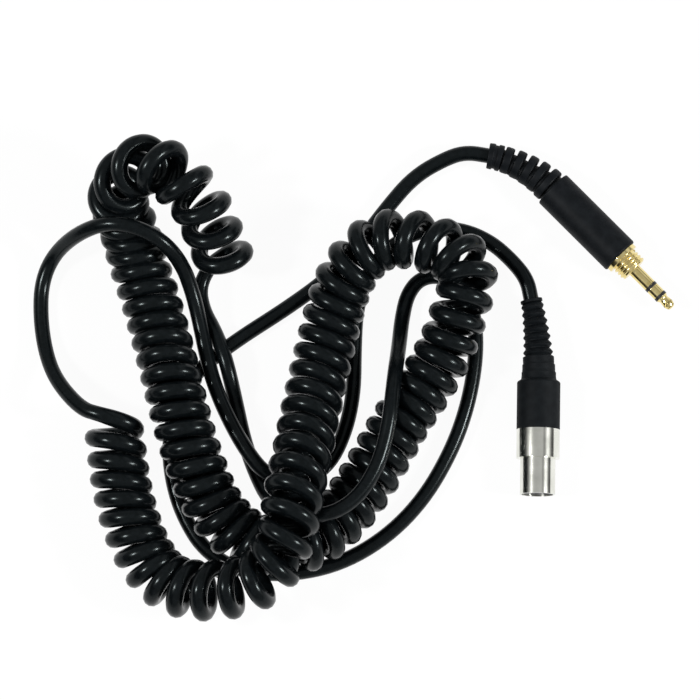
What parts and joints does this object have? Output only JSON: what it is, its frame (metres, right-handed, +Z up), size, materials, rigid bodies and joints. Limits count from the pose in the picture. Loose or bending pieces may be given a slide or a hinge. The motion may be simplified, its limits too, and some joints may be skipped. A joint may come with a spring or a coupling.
{
  "type": "coiled headphone cord",
  "caption": "Curly black audio cord with a latching mini XLR socket at one end and a gold stereo mini-jack plug with a threaded collar at the other.",
  "frame": {"origin": "bottom centre of the common box of the two connectors, on the surface they lie on", "axes": "+Z up from the surface, +Y along the socket from its contact end to its cord, +X towards the plug's tip side"},
  "size_m": [0.1674, 0.1357, 0.0343],
  "materials": {
    "nickel": "satin nickel plate",
    "nickel_latch": "nickel-plated spring steel",
    "socket_plastic": "moulded",
    "gold": "gold plate",
    "boot_rubber": "matt moulded",
    "barrel_plastic": "matt moulded",
    "plug_insulation": "moulded",
    "clamp_metal": "crimped",
    "core_plastic": "insulated stranded core",
    "cord_jacket": "glossy"
  },
  "bodies": {
    "cord": {"socket_shell": "nickel", "socket_insert": "socket_plastic", "socket_contacts": "gold", "latch_carrier": "socket_plastic", "socket_boot": "boot_rubber", "socket_cord_clamp": "clamp_metal", "socket_jacket_end": "cord_jacket", "socket_cores": "core_plastic", "plug_tip": "gold", "plug_tip_insulator": "plug_insulation", "plug_ring": "gold", "plug_ring_insulator": "plug_insulation", "plug_sleeve": "gold", "plug_terminal_washer": "plug_insulation", "plug_ring_terminal": "gold", "plug_tip_terminal": "gold", "plug_barrel": "barrel_plastic", "plug_cord_clamp": "clamp_metal", "plug_jacket_end": "cord_jacket", "plug_cores": "core_plastic", "socket_lead": "cord_jacket", "curly_cord": "cord_jacket", "plug_lead": "cord_jacket"},
    "latch": {"latch": "nickel_latch"}
  },
  "joints": [
    {"name": "latch_press", "type": "hinge", "parent": "cord", "child": "latch", "pos_m": [-0.00868, -0.02687, 0.00319], "axis": [-0.6427, 0.0112, -0.766], "range_deg": [0, 4], "stiffness_Nm_per_rad": 0.02, "springref_deg": -5.73}
  ]
}
